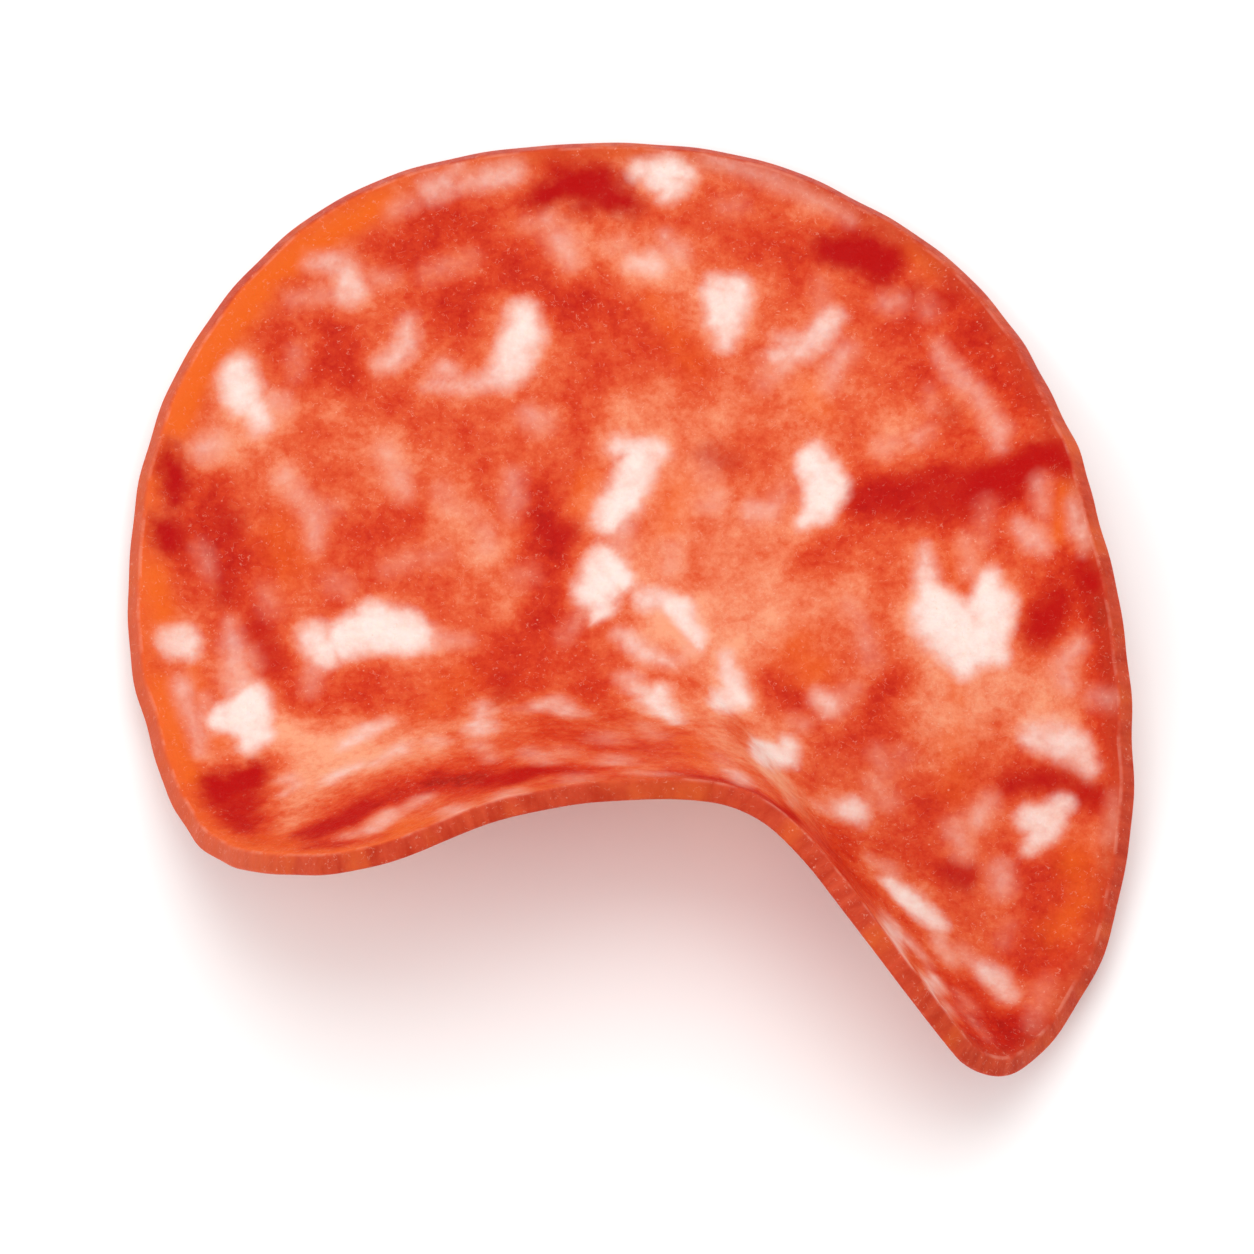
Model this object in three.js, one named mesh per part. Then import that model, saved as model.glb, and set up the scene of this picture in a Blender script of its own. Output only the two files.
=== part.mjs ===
// A thin slice of coarse cured sausage, curled as it lies: level in the middle and at the back,
// with its front standing steeply up between a raised left corner and a long right tip.
//
// Millimetres, +Z up. The slice rests on Z = 0. The front is towards -Y.
//
// The slice is thought of as flat first. A point of the flat slice is given by its direction from
// the rest point, in the middle of the level patch, and its distance from there. Curling it bends
// every such line up into a level stretch, an arc and a straight slope, and turns the lines
// about the rest point so that a ring round the slice keeps its length.
import * as THREE from 'three';

// Driving dimensions.
const sliceThickness = 1.6;
const levelRadius = 7.5;      // the level patch that the slice rests on
const bendRun = 9;            // from the level patch to the full slope, along the slice
const rimLiftRun = 9;         // the outer strip that curls up a little more
const rimLiftAngle = 17;      // how much more, in degrees, where the slice is level
const rimLean = 0.4;          // how far the side wall leans in towards the upper face
const rimRounding = 0.35;     // the soft corners between the side wall and the two faces

// The curl, every 20 degrees round the rest point, starting at +X and turning towards +Y.
// Smooth closed curves follow these values.
const slopes = [14, 12, 0, 0, 0, 0, 0, 3, 1, 1, 7, 25, 41, 59, 41, 21, 0, 2];
const reaches = [
  39.5, 36, 37, 37.5, 37.5, 38, 41, 41, 41,
  40.5, 43, 45.5, 44.5, 31.5, 33.5, 52, 53.5, 44,
];

// Mesh fineness.
const directionCount = 72;
const ringCount = 18;
const turningSteps = 720;

const fullTurn = 2 * Math.PI;
const backDirection = Math.PI / 2;
const leastSlope = 1e-4;      // keeps the arc formula clear of a division by zero
const leastTurning = 0.2;     // keeps the lines apart where the slope changes fast
const smallStep = 1e-3;       // for the two surface directions that give the normal

// A smooth closed curve (uniform cubic B-spline) led by values spaced evenly over a full turn.
function closedCurve(values, direction) {
  const position = (direction / fullTurn) * values.length;
  const start = Math.floor(position);
  const t = position - start;
  const weights = [
    (1 - t) ** 3 / 6,
    (3 * t ** 3 - 6 * t ** 2 + 4) / 6,
    (-3 * t ** 3 + 3 * t ** 2 + 3 * t + 1) / 6,
    t ** 3 / 6,
  ];
  const at = (index) => values[((index % values.length) + values.length) % values.length];
  return weights.reduce((sum, weight, k) => sum + weight * at(start - 1 + k), 0);
}

const slopeAt = (direction) => {
  const slope = THREE.MathUtils.degToRad(closedCurve(slopes, direction));
  return Math.max(slope, leastSlope);
};
const reachAt = (direction) => closedCurve(reaches, direction);

// How far each line has turned once the slice is curled. On a ring that keeps its length, a line
// at slope a turns sqrt(1 - a'^2) / cos(a) times as fast as it did on the flat slice. The whole is
// scaled to one full turn, and the line that runs straight back stays where it is.
function makeTurning() {
  const step = fullTurn / turningSteps;
  const turned = [0];
  for (let i = 0; i < turningSteps; i += 1) {
    const middle = (i + 0.5) * step;
    const slopeRate = (slopeAt(middle + smallStep) - slopeAt(middle - smallStep)) / (2 * smallStep);
    const turning = Math.sqrt(Math.max(1 - slopeRate ** 2, leastTurning ** 2));
    const rate = turning / Math.cos(slopeAt(middle));
    turned.push(turned[i] + rate * step);
  }
  const scale = fullTurn / turned[turningSteps];
  const read = (direction) => {
    const turns = Math.floor(direction / fullTurn);
    const position = (direction - turns * fullTurn) / step;
    const i = Math.min(Math.floor(position), turningSteps - 1);
    const along = turned[i] + (turned[i + 1] - turned[i]) * (position - i);
    return along * scale + turns * fullTurn;
  };
  const backShift = read(backDirection) - backDirection;
  return (direction) => read(direction) - backShift;
}

const turnedDirection = makeTurning();

// A point of the lower face.
function lowerFace(direction, distance) {
  const slope = slopeAt(direction);
  const reach = reachAt(direction);
  const bent = THREE.MathUtils.clamp((distance - levelRadius) / bendRun, 0, 1);
  const straight = Math.max(distance - levelRadius - bendRun, 0);
  let out = Math.min(distance, levelRadius) + (bendRun / slope) * Math.sin(slope * bent);
  let up = (bendRun / slope) * (1 - Math.cos(slope * bent));
  out += straight * Math.cos(slope);
  up += straight * Math.sin(slope);

  const intoRim = Math.max((distance - reach + rimLiftRun) / rimLiftRun, 0);
  const liftAngle = THREE.MathUtils.degToRad(rimLiftAngle) * Math.cos(slope) ** 2;
  const lift = (rimLiftRun / 2) * liftAngle * intoRim ** 2;
  out -= lift * Math.sin(slope);
  up += lift * Math.cos(slope);

  const turned = turnedDirection(direction);
  return new THREE.Vector3(out * Math.cos(turned), out * Math.sin(turned), up);
}

// The upward normal of the lower face, from two short steps over it.
function upwardNormal(direction, distance) {
  const here = Math.max(distance, levelRadius / 2);
  const outward = lowerFace(direction, here + smallStep).sub(lowerFace(direction, here - smallStep));
  const around = lowerFace(direction + smallStep, here).sub(lowerFace(direction - smallStep, here));
  return outward.cross(around).normalize();
}

function slicePoint(direction, distance, height) {
  const normal = upwardNormal(direction, distance);
  return lowerFace(direction, distance).addScaledVector(normal, height);
}

// The section of the slice along one line, from the middle of the lower face out to the rim and
// back to the middle of the upper face. Each entry is [distance from the rest point, height].
function sectionAlong(reach) {
  const face = [];
  for (let i = 0; i <= ringCount; i += 1) {
    face.push(levelRadius + ((reach - rimLean - rimRounding - levelRadius) * i) / ringCount);
  }
  const lower = face.map((distance) => [distance, 0]);
  const upper = face.map((distance) => [distance, sliceThickness]).reverse();
  const wall = [
    [reach - rimRounding, 0],
    [reach, rimRounding],
    [reach - rimLean, sliceThickness - rimRounding],
  ];
  return [...lower, ...wall, ...upper];
}

// The closed skin: one loop of points for each entry of the section, joined loop to loop, with a
// fan at the middle of each face.
function sliceGeometry() {
  const points = [];
  const faces = [];
  let loopCount = 0;
  for (let j = 0; j < directionCount; j += 1) {
    const direction = (fullTurn * j) / directionCount;
    const section = sectionAlong(reachAt(direction));
    loopCount = section.length;
    for (const [distance, height] of section) {
      points.push(slicePoint(direction, distance, height));
    }
  }
  const lowerMiddle = points.push(new THREE.Vector3(0, 0, 0)) - 1;
  const upperMiddle = points.push(new THREE.Vector3(0, 0, sliceThickness)) - 1;

  for (let j = 0; j < directionCount; j += 1) {
    const here = j * loopCount;
    const next = ((j + 1) % directionCount) * loopCount;
    faces.push(lowerMiddle, next, here);
    for (let i = 0; i < loopCount - 1; i += 1) {
      faces.push(here + i, next + i, next + i + 1);
      faces.push(here + i, next + i + 1, here + i + 1);
    }
    faces.push(here + loopCount - 1, next + loopCount - 1, upperMiddle);
  }

  const geometry = new THREE.BufferGeometry().setFromPoints(points);
  geometry.setIndex(faces);
  geometry.computeVertexNormals();
  return geometry;
}

function makeSlice() {
  const material = new THREE.MeshStandardMaterial({ color: 0xcf4a2c, roughness: 0.45, metalness: 0 });
  const slice = new THREE.Mesh(sliceGeometry(), material);
  slice.name = 'salami_slice';
  return slice;
}

// The origin is at the middle of the bounding box's base, so the slice is moved over it.
const slice = makeSlice();
const middle = new THREE.Box3().setFromObject(slice).getCenter(new THREE.Vector3());
slice.position.set(-middle.x, -middle.y, 0);

const group = new THREE.Group();
group.add(slice);

export default group;
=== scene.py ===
"""One curled slice of coarse cured sausage on a pale table, in soft daylight.

The slice is first laid out flat, in millimetres about its rest point: x to the right, y to the
back. Fat, deep red lean, orange pieces and painted rim shade are placed on that flat slice, and
the slice is then curled up into the shape of the CAD part. Everything Blender sees is in metres.
"""
import math

import bpy
import numpy as np
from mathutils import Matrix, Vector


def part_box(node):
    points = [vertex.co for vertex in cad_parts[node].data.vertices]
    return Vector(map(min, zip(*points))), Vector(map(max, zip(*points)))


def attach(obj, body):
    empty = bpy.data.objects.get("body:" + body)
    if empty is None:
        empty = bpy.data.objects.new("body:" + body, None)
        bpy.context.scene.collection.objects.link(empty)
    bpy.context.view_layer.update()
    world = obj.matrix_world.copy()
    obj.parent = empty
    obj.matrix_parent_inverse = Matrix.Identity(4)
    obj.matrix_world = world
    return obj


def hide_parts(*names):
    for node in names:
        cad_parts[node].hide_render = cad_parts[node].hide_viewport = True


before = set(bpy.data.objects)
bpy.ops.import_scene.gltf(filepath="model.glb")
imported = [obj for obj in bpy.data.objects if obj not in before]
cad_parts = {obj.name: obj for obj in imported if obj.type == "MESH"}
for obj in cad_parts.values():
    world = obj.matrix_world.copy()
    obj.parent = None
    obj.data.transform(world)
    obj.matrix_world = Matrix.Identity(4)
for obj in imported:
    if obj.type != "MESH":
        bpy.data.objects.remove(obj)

MM = 0.001
FULL_TURN = 2 * np.pi
NODE = "salami_slice"

# The curled slice, in millimetres and degrees, as the CAD part has it.
SLICE_THICKNESS = 1.6
LEVEL_RADIUS = 7.5
BEND_RUN = 9.0
RIM_LIFT_RUN = 9.0
RIM_LIFT_ANGLE = 17.0
RIM_LEAN = 0.4
RIM_ROUNDING = 0.35
SLOPES = np.array([14, 12, 0, 0, 0, 0, 0, 3, 1, 1, 7, 25, 41, 59, 41, 21, 0, 2], float)
REACHES = np.array([39.5, 36, 37, 37.5, 37.5, 38, 41, 41, 41, 40.5, 43, 45.5, 44.5, 31.5,
                    33.5, 52, 53.5, 44], float)
LEAST_SLOPE = 1e-4            # keeps the arc formula clear of a division by zero
LEAST_DIVISOR = 1e-9          # the same for the pieces in the cut face
SMALL_STEP = 1e-3             # for the rate at which the slope changes, in radians
NORMAL_STEP = 2.0             # out along the slice, to either side, for a steady normal
NORMAL_TURN = 0.12            # round the slice, in radians, for the same
SMOOTHING_PASSES = 60         # evens the upper face out where the fold is tight
TURNING_STEPS = 1440
LEAST_TURNING = 0.04          # keeps the turning rate real where the slope changes fast
BACK_DIRECTION = np.pi / 2

# Small swellings of the rim: direction and half-width in degrees, height in millimetres.
RIM_SWELLINGS = [(20, 3, 0.35), (64, 7, -0.25), (100, 12, -0.15), (180, 5, 0.3), (216, 14, 0.3),
                 (235, 7, 0.5), (314, 5, 0.7), (342, 6, 0.25)]

# The unevenness of the rim and of the cut face, in millimetres.
RIM_RIPPLE = 0.09
RIPPLE_WAVES = (23, 9, 47)    # waves round the slice
RIPPLE_STARTS = (1.0, 0.0, 2.0)
BACK_CALM = 0.6               # how much weaker the ripple is at the back than at the sides
FAT_RELIEF = 0.05
FAT_CREST = 0.8               # how far inside its edge a piece of fat stands at its full relief
WAVE_RELIEF = 0.05
# Crossed waves over the cut face, sin(ax + by + c) * cos(dx + ey + f): a, b, c, d, e, f.
FACE_WAVES = [(0.9, 0.4, 0.0, -0.2, 0.7, 0.0), (1.7, -1.1, 1.3, 0.6, 1.5, 0.0),
              (0.45, -0.3, 2.1, 0.0, 0.5, 0.3)]
UNDERSIDE_DRIFT = 1.4         # how far the pieces wander between the two faces
DRIFT_WAVES = ((0.31, 0.6), (0.27, -0.4))    # rate and start of the sine for x and for y
STRENGTH_BLEND = 0.35         # how sharply the nearest fat piece sets the strength
DEPTH_LIMIT = 4.0             # depths inside and outside a piece are kept up to this
RIM_LIMIT = 6.0               # distances from the rim are kept up to this

# Mesh fineness.
FACE_CELLS = 210
WALL_STRIPS = 8

# The view: the camera looks down on the slice from the front.
CAMERA_ELEVATION = 69.0
CAMERA_DISTANCE = 600.0
VIEW_WIDTH = 100.3
SENSOR_WIDTH = 36.0
AIM_FROM_REST_POINT = (-0.9, -4.1)

# The light and the table, in metres and watts.
OVERHEAD_LIGHT = {"place": (0.05, 0.4, 0.85), "size": 0.8, "power": 3.6}
LEFT_LIGHT = {"place": (-0.5, -0.4, 0.6), "size": 0.6, "power": 1.4}
SKY_COLOUR = (1.0, 0.99, 0.98, 1)
SKY_STRENGTH = 0.88
TABLE_HALF_SIDE = 1.5
TABLE_COLOUR = (0.95, 0.95, 0.95, 1)
TABLE_ROUGHNESS = 0.9

# Pieces in the cut face, placed on the flat slice in millimetres about the rest point. Each is a
# strength from 0 to 1 and a row of round lobes (x, y, radius) that a smooth band runs through.
FAT_PIECES = [
    # back left
    (0.95, (-30.4, 20.6, 1.4), (-30.0, 19.0, 1.5)),
    (0.90, (-28.9, 17.6, 1.0), (-28.7, 16.7, 1.0)),
    (0.60, (-27.4, 17.9, 0.7), (-26.8, 17.7, 0.7)),
    (0.65, (-33.4, 15.1, 0.9), (-32.5, 15.3, 0.9)),
    (0.65, (-24.3, 29.0, 0.7), (-22.3, 28.7, 0.8)),
    (0.75, (-21.9, 28.0, 1.0), (-21.3, 26.2, 1.3)),
    (0.45, (-25.3, 25.6, 0.5), (-23.6, 26.0, 0.7)),
    (0.45, (-19.5, 27.1, 0.5), (-18.4, 26.9, 0.6)),
    (0.70, (-17.0, 23.0, 0.6), (-17.2, 21.0, 0.9), (-18.3, 19.5, 0.9)),
    (0.60, (-14.5, 18.6, 0.8), (-14.1, 18.5, 0.8)),
    (0.60, (-15.2, 34.3, 1.1), (-14.2, 34.6, 1.0), (-13.3, 36.0, 0.5)),
    (0.45, (-18.2, 32.9, 0.5), (-16.7, 33.3, 0.6)),
    (0.35, (-25.7, 21.8, 0.4), (-25.5, 20.3, 0.5)),
    (0.30, (-15.3, 27.1, 0.7), (-12.5, 28.0, 0.7)),
    # back middle
    (0.65, (-13.0, 34.6, 0.7), (-10.9, 35.0, 1.0), (-9.4, 35.4, 1.1)),
    (0.95, (0.3, 35.3, 0.9), (2.2, 35.3, 1.3), (3.3, 34.9, 0.8)),
    (0.95, (1.5, 34.6, 1.2), (2.6, 34.2, 1.1), (2.0, 33.0, 0.5)),
    (0.50, (5.2, 36.3, 0.5), (8.6, 35.2, 0.7), (12.2, 33.6, 0.6), (15.6, 31.8, 0.4)),
    (0.55, (-6.6, 30.8, 0.8), (-5.4, 28.8, 1.1), (-4.8, 27.3, 0.7)),
    (0.40, (-8.0, 30.8, 0.5), (-6.3, 30.5, 0.8)),
    (0.75, (-0.2, 27.0, 0.8), (0.9, 27.0, 1.2)),
    (0.55, (1.9, 29.6, 0.4), (2.6, 28.2, 0.9), (3.0, 27.6, 0.6)),
    (0.35, (-1.7, 28.5, 0.6), (-1.1, 28.7, 0.6)),
    (0.95, (5.8, 25.3, 0.8), (7.2, 25.2, 0.9), (6.7, 23.0, 1.3), (6.2, 20.4, 0.7)),
    (0.95, (5.7, 24.6, 0.9), (6.0, 22.0, 1.0)),
    (0.95, (-8.5, 23.2, 1.0), (-8.4, 21.0, 1.5), (-9.3, 18.4, 1.5), (-9.7, 17.4, 0.9)),
    (0.70, (-15.2, 17.4, 0.5), (-12.5, 17.2, 0.7), (-9.8, 17.8, 1.0)),
    (0.80, (10.0, 19.3, 0.7), (12.0, 20.2, 0.9), (13.2, 21.2, 1.1), (14.2, 23.4, 0.9)),
    (0.60, (10.2, 21.0, 0.4), (12.0, 21.0, 0.7)),
    (0.55, (9.8, 17.6, 0.4), (11.0, 19.2, 0.6)),
    (0.30, (13.4, 24.6, 0.4), (13.3, 26.2, 0.3)),
    (0.50, (15.4, 20.6, 0.7), (14.4, 18.9, 0.8), (14.0, 17.2, 0.4)),
    (0.35, (9.2, 19.0, 0.4), (9.1, 16.8, 0.5)),
    (0.50, (-8.0, 14.2, 0.8), (-7.1, 13.5, 1.0)),
    (0.30, (6.5, 32.2, 0.6), (7.3, 32.4, 0.6)),
    # back right
    (0.40, (18.5, 24.9, 0.8), (19.3, 25.3, 0.7)),
    (0.35, (21.5, 25.2, 0.6), (21.6, 24.5, 0.6)),
    (0.55, (22.3, 21.3, 0.5), (23.8, 19.7, 0.9), (25.5, 18.0, 0.8), (27.1, 16.0, 0.7),
     (28.2, 14.1, 1.0), (28.4, 12.7, 0.5)),
    (0.40, (21.4, 13.3, 0.8), (22.0, 14.0, 0.7)),
    (0.40, (18.8, 12.3, 0.8), (19.6, 12.7, 0.8)),
    (0.30, (22.1, 17.6, 0.4), (22.3, 16.2, 0.5)),
    (1.00, (13.2, 10.5, 1.5), (14.4, 8.6, 1.8), (14.2, 7.0, 1.4), (13.0, 5.7, 0.6)),
    (0.50, (32.2, 9.6, 0.7), (32.6, 7.6, 0.5)),
    (0.65, (30.6, 6.4, 0.5), (32.0, 5.6, 1.0), (33.0, 4.9, 0.5)),
    (0.65, (35.1, 7.9, 0.5), (35.7, 6.6, 0.7), (36.5, 5.2, 0.4)),
    (0.30, (27.8, 7.9, 0.5), (27.6, 5.2, 0.5)),
    # left
    (0.95, (-38.1, 0.4, 1.1), (-37.0, 0.4, 1.25)),
    (0.55, (-33.0, 1.3, 0.5), (-33.1, -0.8, 1.0), (-33.3, -3.2, 1.3)),
    (0.45, (-31.9, -1.3, 0.5), (-31.7, -2.2, 0.5)),
    (1.00, (-32.4, -4.9, 1.3), (-33.3, -6.7, 2.0), (-32.8, -8.4, 1.4), (-33.8, -9.7, 0.7)),
    (1.00, (-35.8, -6.6, 1.0), (-33.8, -6.4, 1.8)),
    (0.60, (-38.0, -3.2, 0.8), (-37.8, -5.5, 0.7), (-37.6, -7.6, 0.7), (-37.9, -9.3, 0.4)),
    (0.50, (-36.3, -4.6, 0.4), (-37.1, -6.4, 0.4)),
    (0.40, (-34.5, 7.6, 0.4), (-34.2, 6.5, 0.6), (-34.0, 5.4, 0.3)),
    (0.30, (-29.6, 3.3, 0.6), (-29.5, 2.1, 0.7)),
    (0.95, (-26.6, -0.9, 1.3), (-26.1, -2.3, 1.2)),
    (1.00, (-24.2, -1.5, 1.5), (-21.6, -0.9, 2.1), (-19.5, -1.6, 1.9), (-17.9, -2.4, 1.1)),
    (0.50, (-17.2, -2.7, 0.8), (-14.8, -3.2, 0.4)),
    (0.50, (-27.2, -3.9, 0.6), (-27.8, -5.4, 0.4)),
    (0.35, (-24.3, 3.2, 0.6), (-23.5, 2.9, 0.6)),
    (0.55, (-27.0, 12.0, 0.7), (-26.0, 10.2, 0.7), (-25.0, 8.6, 0.9), (-25.2, 6.3, 0.4)),
    (0.35, (-24.6, 9.2, 0.6), (-23.2, 9.1, 0.3)),
    (0.50, (-19.1, 12.7, 0.7), (-18.2, 10.6, 0.9), (-17.9, 9.2, 0.5)),
    (0.40, (-15.0, 8.9, 0.5), (-14.3, 7.6, 0.5), (-13.3, 7.0, 0.3)),
    (0.35, (-20.0, 3.5, 0.4), (-18.3, 4.0, 0.5), (-15.0, 4.0, 0.35)),
    (0.75, (-26.1, -12.2, 0.7), (-24.2, -11.2, 1.2), (-22.8, -10.8, 0.8)),
    (0.60, (-31.2, -14.9, 0.7), (-30.6, -16.1, 0.6), (-31.6, -17.0, 0.3)),
    (0.65, (-27.3, -17.0, 1.1), (-25.4, -16.4, 0.9)),
    (0.60, (-23.4, -17.0, 0.8), (-21.6, -15.8, 1.1), (-21.2, -17.0, 0.6)),
    (0.50, (-18.6, -16.1, 0.6), (-17.2, -16.9, 0.7)),
    (0.60, (-14.1, -11.8, 0.6), (-13.4, -13.4, 1.0)),
    (0.70, (-14.0, -14.8, 1.0), (-13.8, -16.8, 1.3)),
    (0.45, (-14.4, -19.3, 0.8), (-13.7, -21.4, 0.5), (-13.1, -23.4, 0.6)),
    # middle
    (0.95, (-1.2, 11.0, 0.9), (1.2, 10.5, 0.9)),
    (1.00, (0.2, 9.8, 1.3), (-0.6, 7.6, 1.3), (-1.6, 5.5, 1.5), (-2.0, 4.4, 1.0)),
    (0.55, (-0.8, 4.6, 0.5), (-1.3, 3.0, 0.8), (-1.2, 2.3, 0.6)),
    (1.00, (-2.7, 0.4, 1.9), (-3.4, -1.0, 2.1), (-3.1, -2.6, 1.2)),
    (1.00, (-2.4, -0.4, 1.5), (-1.5, -0.5, 1.0)),
    (0.95, (0.5, -2.3, 0.9), (2.0, -2.2, 1.2), (3.8, -3.1, 1.5), (5.0, -4.5, 1.2)),
    (0.80, (-1.6, -5.4, 0.5), (-0.6, -7.0, 0.6), (0.9, -8.3, 0.5)),
    (0.50, (0.9, -8.0, 0.5), (2.8, -8.0, 0.5), (4.8, -6.3, 0.6)),
    (0.40, (2.2, 2.2, 0.4), (2.5, 1.0, 0.7)),
    (0.50, (5.5, 7.1, 0.4), (5.0, 6.0, 0.7)),
    (0.25, (4.9, 9.4, 0.6), (5.0, 8.7, 0.7)),
    (0.65, (8.4, 6.0, 0.7), (9.9, 6.3, 0.8)),
    (0.35, (10.2, 6.9, 0.6), (11.2, 8.2, 0.5)),
    (0.45, (-9.0, 8.8, 0.7), (-9.2, 7.3, 0.9), (-9.6, 6.3, 0.5)),
    (0.40, (-11.9, 5.4, 0.6), (-11.8, 4.0, 0.7)),
    (0.30, (-13.2, 7.0, 0.5), (-12.6, 6.8, 0.5)),
    (0.25, (-9.8, 1.1, 0.6), (-8.7, 1.3, 0.6)),
    (0.35, (-6.3, -4.4, 0.9), (-5.2, -3.1, 0.7)),
    (0.70, (-1.9, -9.3, 0.4), (-1.5, -11.0, 0.6)),
    (0.95, (-0.5, -10.7, 0.5), (-1.0, -12.2, 0.7), (-0.9, -13.8, 0.7), (-0.5, -15.6, 0.5),
     (-0.5, -16.8, 0.25)),
    (0.90, (8.2, -5.9, 0.6), (8.6, -7.6, 1.3), (9.4, -9.0, 1.2), (7.9, -11.0, 1.1),
     (5.6, -12.6, 1.2), (3.9, -13.6, 0.8)),
    (0.80, (16.2, -7.9, 0.6), (17.3, -8.5, 0.9)),
    (0.40, (19.0, -6.8, 0.4), (17.8, -8.0, 0.6)),
    (0.45, (14.5, -10.2, 0.3), (15.5, -10.5, 0.5)),
    (0.90, (14.3, -13.0, 1.1), (12.6, -14.8, 1.5), (10.0, -17.0, 1.6), (7.5, -19.5, 1.6),
     (6.1, -21.2, 1.0)),
    (0.60, (-9.0, -13.8, 1.0), (-7.3, -13.6, 1.4), (-6.2, -14.8, 1.1)),
    (0.35, (-10.8, -14.0, 0.5), (-9.8, -14.4, 0.6)),
    # right
    (0.85, (23.0, 3.9, 0.4), (23.5, 2.2, 0.9)),
    (1.00, (23.7, 1.4, 1.0), (24.7, -0.7, 2.1), (26.5, -1.8, 2.3), (27.5, -3.9, 1.1)),
    (1.00, (28.4, 2.3, 0.9), (29.1, 0.2, 1.9), (28.5, -2.0, 2.1), (30.3, -3.3, 0.6)),
    (0.45, (26.3, 4.9, 0.5), (26.9, 3.0, 0.6)),
    (0.55, (36.8, -1.8, 0.5), (35.4, -3.6, 0.9), (36.2, -4.8, 0.7)),
    (0.50, (38.3, -5.7, 0.5), (40.0, -6.0, 0.6)),
    (0.85, (33.7, -8.8, 1.1), (35.8, -9.0, 1.4), (37.5, -9.8, 1.2), (38.9, -11.2, 0.6)),
    (0.95, (36.9, -14.1, 0.8), (35.8, -15.4, 1.6), (34.4, -15.3, 1.0)),
    (0.90, (35.6, -16.2, 1.2), (34.9, -17.4, 0.6)),
    (0.55, (30.9, -14.5, 0.7), (30.2, -15.9, 0.9)),
    (0.50, (28.9, -16.8, 0.8), (29.9, -18.6, 0.7)),
    (0.55, (32.9, -19.7, 0.8), (33.4, -21.1, 0.9)),
    (0.40, (21.5, -11.6, 0.4), (22.7, -13.1, 0.5)),
    (0.45, (21.9, -14.1, 0.5), (23.3, -15.6, 0.6)),
    (0.30, (23.4, -11.4, 0.4), (24.0, -11.8, 0.5)),
    (0.85, (19.0, -17.5, 0.8), (20.8, -17.2, 1.2)),
    (0.45, (16.8, -18.6, 0.5), (18.2, -17.9, 0.7)),
    (0.40, (17.5, -0.4, 0.4), (18.7, -1.6, 0.4), (19.3, -3.2, 0.7), (19.9, -4.4, 0.7)),
    (0.40, (41.1, -13.4, 0.3), (41.3, -16.0, 0.6)),
    (0.45, (21.9, -21.4, 0.3), (24.4, -22.1, 0.6)),
    (0.95, (24.0, -23.2, 1.0), (26.2, -24.5, 1.2), (28.6, -25.6, 0.9)),
    (0.60, (28.8, -27.6, 0.9), (29.7, -28.4, 0.9)),
    (0.50, (31.0, -27.7, 0.6), (32.3, -28.4, 0.7)),
    (0.80, (33.2, -28.8, 0.9), (34.4, -29.4, 1.1), (35.6, -30.5, 0.9)),
    (0.30, (34.5, -24.2, 0.3), (34.3, -25.8, 0.4)),
    (0.30, (38.5, -28.6, 0.5), (38.0, -33.2, 0.6)),
    # the flap
    (0.65, (24.0, -29.8, 1.5), (22.0, -33.2, 1.7), (20.0, -38.0, 1.9), (19.0, -42.0, 2.0)),
    (0.55, (25.6, -30.0, 1.0), (27.2, -31.0, 0.7)),
    (0.70, (28.3, -33.5, 1.1), (26.8, -35.6, 1.1), (25.2, -39.0, 0.9), (24.0, -42.5, 0.8)),
    (0.55, (29.3, -36.5, 0.7), (27.7, -39.0, 0.6), (26.2, -42.0, 0.6)),
    (0.30, (31.2, -33.0, 0.7), (31.9, -33.9, 0.6)),
    (0.25, (31.2, -35.2, 0.6), (33.2, -36.8, 0.6)),
    (0.35, (12.2, -22.4, 0.5), (9.6, -25.2, 0.4), (7.5, -28.0, 0.3)),
    (0.45, (-10.2, -23.0, 0.7), (-9.5, -25.0, 1.0), (-9.2, -26.6, 0.5)),
    (0.30, (-7.9, -23.3, 0.4), (-7.6, -25.0, 0.5)),
    (0.50, (-5.1, -25.6, 0.5), (-5.4, -27.2, 0.9)),
    (0.35, (-4.5, -19.7, 0.6), (-4.9, -21.4, 0.8)),
    (0.40, (-2.3, -17.0, 0.2), (-2.2, -20.4, 0.3)),
    (0.35, (1.1, -24.2, 0.5), (1.3, -26.0, 0.6)),
    (0.60, (1.9, -27.7, 1.1), (1.9, -29.3, 1.1), (1.6, -31.2, 0.5)),
    (0.40, (-4.3, -30.6, 0.8), (-3.3, -30.8, 0.5)),
    (0.35, (-8.0, -31.0, 0.8), (-8.6, -33.0, 0.8)),
    (0.60, (-24.6, -31.0, 1.4), (-22.8, -29.0, 1.4)),
    (0.50, (-21.2, -28.4, 0.9), (-20.0, -27.8, 1.2)),
    (0.35, (-26.6, -30.6, 0.9), (-25.4, -31.2, 0.8)),
    (0.50, (-17.6, -33.0, 1.0), (-17.0, -35.6, 1.2)),
    (0.50, (-13.2, -35.0, 1.2), (-12.7, -33.6, 1.0)),
]

# Deep red pieces of lean, set out the same way. Two along the front rim are painted shade.
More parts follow.
